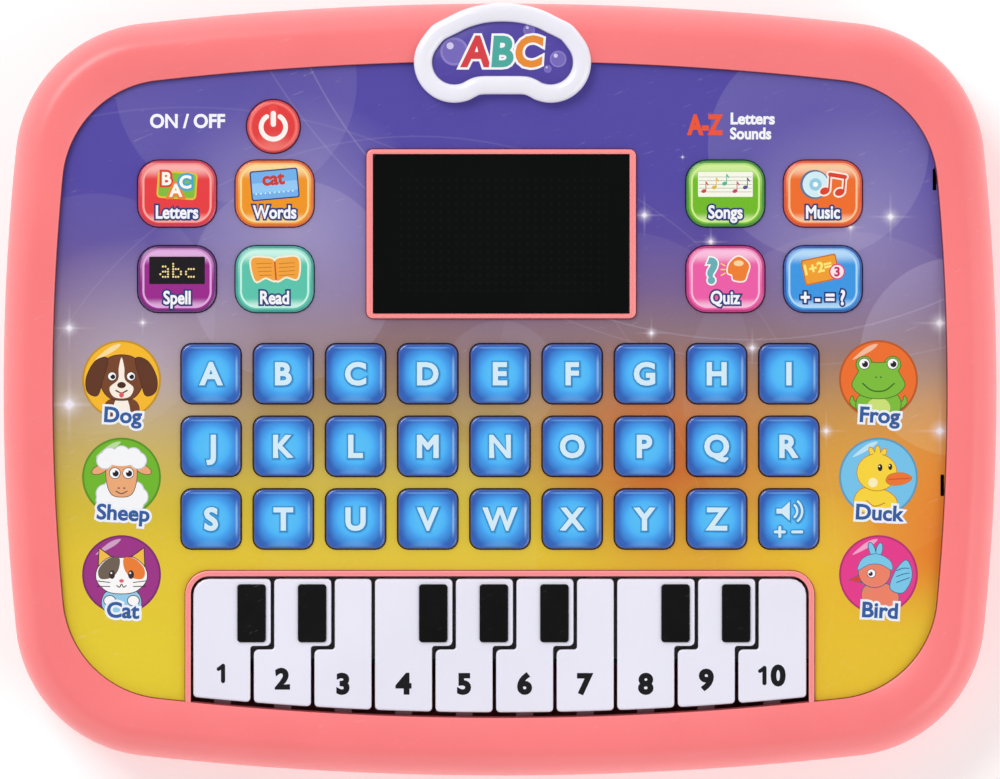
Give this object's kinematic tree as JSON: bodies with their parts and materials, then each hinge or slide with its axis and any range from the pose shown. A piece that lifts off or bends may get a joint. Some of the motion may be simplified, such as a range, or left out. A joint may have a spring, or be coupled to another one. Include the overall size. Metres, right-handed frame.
{
  "type": "learning tablet toy",
  "caption": "Flat rounded learning toy with square letter keys, round-cornered mode keys, small hinged piano keys and a dark window.",
  "frame": {"origin": "middle of the flat back face, on the surface the toy lies on", "axes": "+X across the face to the right, +Y up the face away from the user, +Z out of the face"},
  "size_m": [0.24, 0.1866, 0.0286],
  "materials": {
    "case_plastic": "satin moulded plastic, soft highlight",
    "printed_film": "printed polycarbonate film, fine satin texture",
    "badge_plastic": "glossy white",
    "badge_print": "printed, satin",
    "smoked_window": "polished dark acrylic",
    "board": "solder resist",
    "silicone": "soft silicone",
    "speaker_frame": "black cone and frame",
    "cell_sleeve": "shrink sleeve",
    "spring_steel": "nickel plated",
    "screw_steel": "zinc plated",
    "power_plastic": "glossy, rounded edge",
    "letter_key_plastic": "printed, glossy, pillow top",
    "piano_plastic": "glossy white with black pads",
    "mode_letters_print": "printed, glossy, pillow top",
    "mode_words_print": "printed, glossy, pillow top",
    "mode_songs_print": "printed, glossy, pillow top",
    "mode_music_print": "printed, glossy, pillow top",
    "mode_spelling_print": "printed, glossy, pillow top",
    "mode_reading_print": "printed, glossy, pillow top",
    "mode_quiz_print": "printed, glossy, pillow top",
    "mode_maths_print": "printed, glossy, pillow top"
  },
  "bodies": {
    "housing": {"front_cover": "case_plastic", "rear_cover": "case_plastic", "face_overlay": "printed_film", "badge_frame": "badge_plastic", "badge_label": "badge_print", "screen_window": "smoked_window", "circuit_board": "board", "key_dome_sheet": "silicone", "speaker": "speaker_frame", "batteries": "cell_sleeve", "battery_contacts": "spring_steel", "case_screws": "screw_steel"},
    "battery_door": {"battery_door": "case_plastic", "door_screw": "screw_steel"},
    "power_button": {"power_button": "power_plastic"},
    "mode_key_letters": {"mode_key_letters": "mode_letters_print"},
    "mode_key_words": {"mode_key_words": "mode_words_print"},
    "mode_key_songs": {"mode_key_songs": "mode_songs_print"},
    "mode_key_music": {"mode_key_music": "mode_music_print"},
    "mode_key_spelling": {"mode_key_spelling": "mode_spelling_print"},
    "mode_key_reading": {"mode_key_reading": "mode_reading_print"},
    "mode_key_quiz": {"mode_key_quiz": "mode_quiz_print"},
    "mode_key_maths": {"mode_key_maths": "mode_maths_print"},
    "letter_key_a": {"letter_key_a": "letter_key_plastic"},
    "letter_key_b": {"letter_key_b": "letter_key_plastic"},
    "letter_key_c": {"letter_key_c": "letter_key_plastic"},
    "letter_key_d": {"letter_key_d": "letter_key_plastic"},
    "letter_key_e": {"letter_key_e": "letter_key_plastic"},
    "letter_key_f": {"letter_key_f": "letter_key_plastic"},
    "letter_key_g": {"letter_key_g": "letter_key_plastic"},
    "letter_key_h": {"letter_key_h": "letter_key_plastic"},
    "letter_key_i": {"letter_key_i": "letter_key_plastic"},
    "letter_key_j": {"letter_key_j": "letter_key_plastic"},
    "letter_key_k": {"letter_key_k": "letter_key_plastic"},
    "letter_key_l": {"letter_key_l": "letter_key_plastic"},
    "letter_key_m": {"letter_key_m": "letter_key_plastic"},
    "letter_key_n": {"letter_key_n": "letter_key_plastic"},
    "letter_key_o": {"letter_key_o": "letter_key_plastic"},
    "letter_key_p": {"letter_key_p": "letter_key_plastic"},
    "letter_key_q": {"letter_key_q": "letter_key_plastic"},
    "letter_key_r": {"letter_key_r": "letter_key_plastic"},
    "letter_key_s": {"letter_key_s": "letter_key_plastic"},
    "letter_key_t": {"letter_key_t": "letter_key_plastic"},
    "letter_key_u": {"letter_key_u": "letter_key_plastic"},
    "letter_key_v": {"letter_key_v": "letter_key_plastic"},
    "letter_key_w": {"letter_key_w": "letter_key_plastic"},
    "letter_key_x": {"letter_key_x": "letter_key_plastic"},
    "letter_key_y": {"letter_key_y": "letter_key_plastic"},
    "letter_key_z": {"letter_key_z": "letter_key_plastic"},
    "volume_key": {"volume_key": "letter_key_plastic"},
    "piano_key_1": {"piano_key_1": "piano_plastic"},
    "piano_key_2": {"piano_key_2": "piano_plastic"},
    "piano_key_3": {"piano_key_3": "piano_plastic"},
    "piano_key_4": {"piano_key_4": "piano_plastic"},
    "piano_key_5": {"piano_key_5": "piano_plastic"},
    "piano_key_6": {"piano_key_6": "piano_plastic"},
    "piano_key_7": {"piano_key_7": "piano_plastic"},
    "piano_key_8": {"piano_key_8": "piano_plastic"},
    "piano_key_9": {"piano_key_9": "piano_plastic"},
    "piano_key_10": {"piano_key_10": "piano_plastic"}
  },
  "joints": [
    {"name": "letter_key_a_press", "type": "slide", "parent": "housing", "child": "letter_key_a", "axis": [0, 0, -1], "range_m": [0, 0.0008], "stiffness_N_per_m": 300},
    {"name": "letter_key_b_press", "type": "slide", "parent": "housing", "child": "letter_key_b", "axis": [0, 0, -1], "range_m": [0, 0.0008], "stiffness_N_per_m": 300},
    {"name": "letter_key_c_press", "type": "slide", "parent": "housing", "child": "letter_key_c", "axis": [0, 0, -1], "range_m": [0, 0.0008], "stiffness_N_per_m": 300},
    {"name": "letter_key_d_press", "type": "slide", "parent": "housing", "child": "letter_key_d", "axis": [0, 0, -1], "range_m": [0, 0.0008], "stiffness_N_per_m": 300},
    {"name": "letter_key_e_press", "type": "slide", "parent": "housing", "child": "letter_key_e", "axis": [0, 0, -1], "range_m": [0, 0.0008], "stiffness_N_per_m": 300},
    {"name": "letter_key_f_press", "type": "slide", "parent": "housing", "child": "letter_key_f", "axis": [0, 0, -1], "range_m": [0, 0.0008], "stiffness_N_per_m": 300},
    {"name": "letter_key_g_press", "type": "slide", "parent": "housing", "child": "letter_key_g", "axis": [0, 0, -1], "range_m": [0, 0.0008], "stiffness_N_per_m": 300},
    {"name": "letter_key_h_press", "type": "slide", "parent": "housing", "child": "letter_key_h", "axis": [0, 0, -1], "range_m": [0, 0.0008], "stiffness_N_per_m": 300},
    {"name": "letter_key_i_press", "type": "slide", "parent": "housing", "child": "letter_key_i", "axis": [0, 0, -1], "range_m": [0, 0.0008], "stiffness_N_per_m": 300},
    {"name": "letter_key_j_press", "type": "slide", "parent": "housing", "child": "letter_key_j", "axis": [0, 0, -1], "range_m": [0, 0.0008], "stiffness_N_per_m": 300},
    {"name": "letter_key_k_press", "type": "slide", "parent": "housing", "child": "letter_key_k", "axis": [0, 0, -1], "range_m": [0, 0.0008], "stiffness_N_per_m": 300},
    {"name": "letter_key_l_press", "type": "slide", "parent": "housing", "child": "letter_key_l", "axis": [0, 0, -1], "range_m": [0, 0.0008], "stiffness_N_per_m": 300},
    {"name": "letter_key_m_press", "type": "slide", "parent": "housing", "child": "letter_key_m", "axis": [0, 0, -1], "range_m": [0, 0.0008], "stiffness_N_per_m": 300},
    {"name": "letter_key_n_press", "type": "slide", "parent": "housing", "child": "letter_key_n", "axis": [0, 0, -1], "range_m": [0, 0.0008], "stiffness_N_per_m": 300},
    {"name": "letter_key_o_press", "type": "slide", "parent": "housing", "child": "letter_key_o", "axis": [0, 0, -1], "range_m": [0, 0.0008], "stiffness_N_per_m": 300},
    {"name": "letter_key_p_press", "type": "slide", "parent": "housing", "child": "letter_key_p", "axis": [0, 0, -1], "range_m": [0, 0.0008], "stiffness_N_per_m": 300},
    {"name": "letter_key_q_press", "type": "slide", "parent": "housing", "child": "letter_key_q", "axis": [0, 0, -1], "range_m": [0, 0.0008], "stiffness_N_per_m": 300},
    {"name": "letter_key_r_press", "type": "slide", "parent": "housing", "child": "letter_key_r", "axis": [0, 0, -1], "range_m": [0, 0.0008], "stiffness_N_per_m": 300},
    {"name": "letter_key_s_press", "type": "slide", "parent": "housing", "child": "letter_key_s", "axis": [0, 0, -1], "range_m": [0, 0.0008], "stiffness_N_per_m": 300},
    {"name": "letter_key_t_press", "type": "slide", "parent": "housing", "child": "letter_key_t", "axis": [0, 0, -1], "range_m": [0, 0.0008], "stiffness_N_per_m": 300},
    {"name": "letter_key_u_press", "type": "slide", "parent": "housing", "child": "letter_key_u", "axis": [0, 0, -1], "range_m": [0, 0.0008], "stiffness_N_per_m": 300},
    {"name": "letter_key_v_press", "type": "slide", "parent": "housing", "child": "letter_key_v", "axis": [0, 0, -1], "range_m": [0, 0.0008], "stiffness_N_per_m": 300},
    {"name": "letter_key_w_press", "type": "slide", "parent": "housing", "child": "letter_key_w", "axis": [0, 0, -1], "range_m": [0, 0.0008], "stiffness_N_per_m": 300},
    {"name": "letter_key_x_press", "type": "slide", "parent": "housing", "child": "letter_key_x", "axis": [0, 0, -1], "range_m": [0, 0.0008], "stiffness_N_per_m": 300},
    {"name": "letter_key_y_press", "type": "slide", "parent": "housing", "child": "letter_key_y", "axis": [0, 0, -1], "range_m": [0, 0.0008], "stiffness_N_per_m": 300},
    {"name": "letter_key_z_press", "type": "slide", "parent": "housing", "child": "letter_key_z", "axis": [0, 0, -1], "range_m": [0, 0.0008], "stiffness_N_per_m": 300},
    {"name": "volume_key_press", "type": "slide", "parent": "housing", "child": "volume_key", "axis": [0, 0, -1], "range_m": [0, 0.0008], "stiffness_N_per_m": 300},
    {"name": "mode_key_letters_press", "type": "slide", "parent": "housing", "child": "mode_key_letters", "axis": [0, 0, -1], "range_m": [0, 0.0008], "stiffness_N_per_m": 300},
    {"name": "mode_key_words_press", "type": "slide", "parent": "housing", "child": "mode_key_words", "axis": [0, 0, -1], "range_m": [0, 0.0008], "stiffness_N_per_m": 300},
    {"name": "mode_key_songs_press", "type": "slide", "parent": "housing", "child": "mode_key_songs", "axis": [0, 0, -1], "range_m": [0, 0.0008], "stiffness_N_per_m": 300},
    {"name": "mode_key_music_press", "type": "slide", "parent": "housing", "child": "mode_key_music", "axis": [0, 0, -1], "range_m": [0, 0.0008], "stiffness_N_per_m": 300},
    {"name": "mode_key_spelling_press", "type": "slide", "parent": "housing", "child": "mode_key_spelling", "axis": [0, 0, -1], "range_m": [0, 0.0008], "stiffness_N_per_m": 300},
    {"name": "mode_key_reading_press", "type": "slide", "parent": "housing", "child": "mode_key_reading", "axis": [0, 0, -1], "range_m": [0, 0.0008], "stiffness_N_per_m": 300},
    {"name": "mode_key_quiz_press", "type": "slide", "parent": "housing", "child": "mode_key_quiz", "axis": [0, 0, -1], "range_m": [0, 0.0008], "stiffness_N_per_m": 300},
    {"name": "mode_key_maths_press", "type": "slide", "parent": "housing", "child": "mode_key_maths", "axis": [0, 0, -1], "range_m": [0, 0.0008], "stiffness_N_per_m": 300},
    {"name": "power_button_press", "type": "slide", "parent": "housing", "child": "power_button", "axis": [0, 0, -1], "range_m": [0, 0.0008], "stiffness_N_per_m": 300},
    {"name": "piano_key_1_press", "type": "hinge", "parent": "housing", "child": "piano_key_1", "pos_m": [0, -0.0416, 0.0222], "axis": [1, 0, 0], "range_deg": [0, 3.5], "stiffness_Nm_per_rad": 0.5},
    {"name": "piano_key_2_press", "type": "hinge", "parent": "housing", "child": "piano_key_2", "pos_m": [0, -0.0416, 0.0222], "axis": [1, 0, 0], "range_deg": [0, 3.5], "stiffness_Nm_per_rad": 0.5},
    {"name": "piano_key_3_press", "type": "hinge", "parent": "housing", "child": "piano_key_3", "pos_m": [0, -0.0416, 0.0222], "axis": [1, 0, 0], "range_deg": [0, 3.5], "stiffness_Nm_per_rad": 0.5},
    {"name": "piano_key_4_press", "type": "hinge", "parent": "housing", "child": "piano_key_4", "pos_m": [0, -0.0416, 0.0222], "axis": [1, 0, 0], "range_deg": [0, 3.5], "stiffness_Nm_per_rad": 0.5},
    {"name": "piano_key_5_press", "type": "hinge", "parent": "housing", "child": "piano_key_5", "pos_m": [0, -0.0416, 0.0222], "axis": [1, 0, 0], "range_deg": [0, 3.5], "stiffness_Nm_per_rad": 0.5},
    {"name": "piano_key_6_press", "type": "hinge", "parent": "housing", "child": "piano_key_6", "pos_m": [0, -0.0416, 0.0222], "axis": [1, 0, 0], "range_deg": [0, 3.5], "stiffness_Nm_per_rad": 0.5},
    {"name": "piano_key_7_press", "type": "hinge", "parent": "housing", "child": "piano_key_7", "pos_m": [0, -0.0416, 0.0222], "axis": [1, 0, 0], "range_deg": [0, 3.5], "stiffness_Nm_per_rad": 0.5},
    {"name": "piano_key_8_press", "type": "hinge", "parent": "housing", "child": "piano_key_8", "pos_m": [0, -0.0416, 0.0222], "axis": [1, 0, 0], "range_deg": [0, 3.5], "stiffness_Nm_per_rad": 0.5},
    {"name": "piano_key_9_press", "type": "hinge", "parent": "housing", "child": "piano_key_9", "pos_m": [0, -0.0416, 0.0222], "axis": [1, 0, 0], "range_deg": [0, 3.5], "stiffness_Nm_per_rad": 0.5},
    {"name": "piano_key_10_press", "type": "hinge", "parent": "housing", "child": "piano_key_10", "pos_m": [0, -0.0416, 0.0222], "axis": [1, 0, 0], "range_deg": [0, 3.5], "stiffness_Nm_per_rad": 0.5},
    {"name": "battery_door_swing", "type": "hinge", "parent": "housing", "child": "battery_door", "pos_m": [0, 0.06, 0], "axis": [1, 0, 0], "range_deg": [0, 65]}
  ]
}
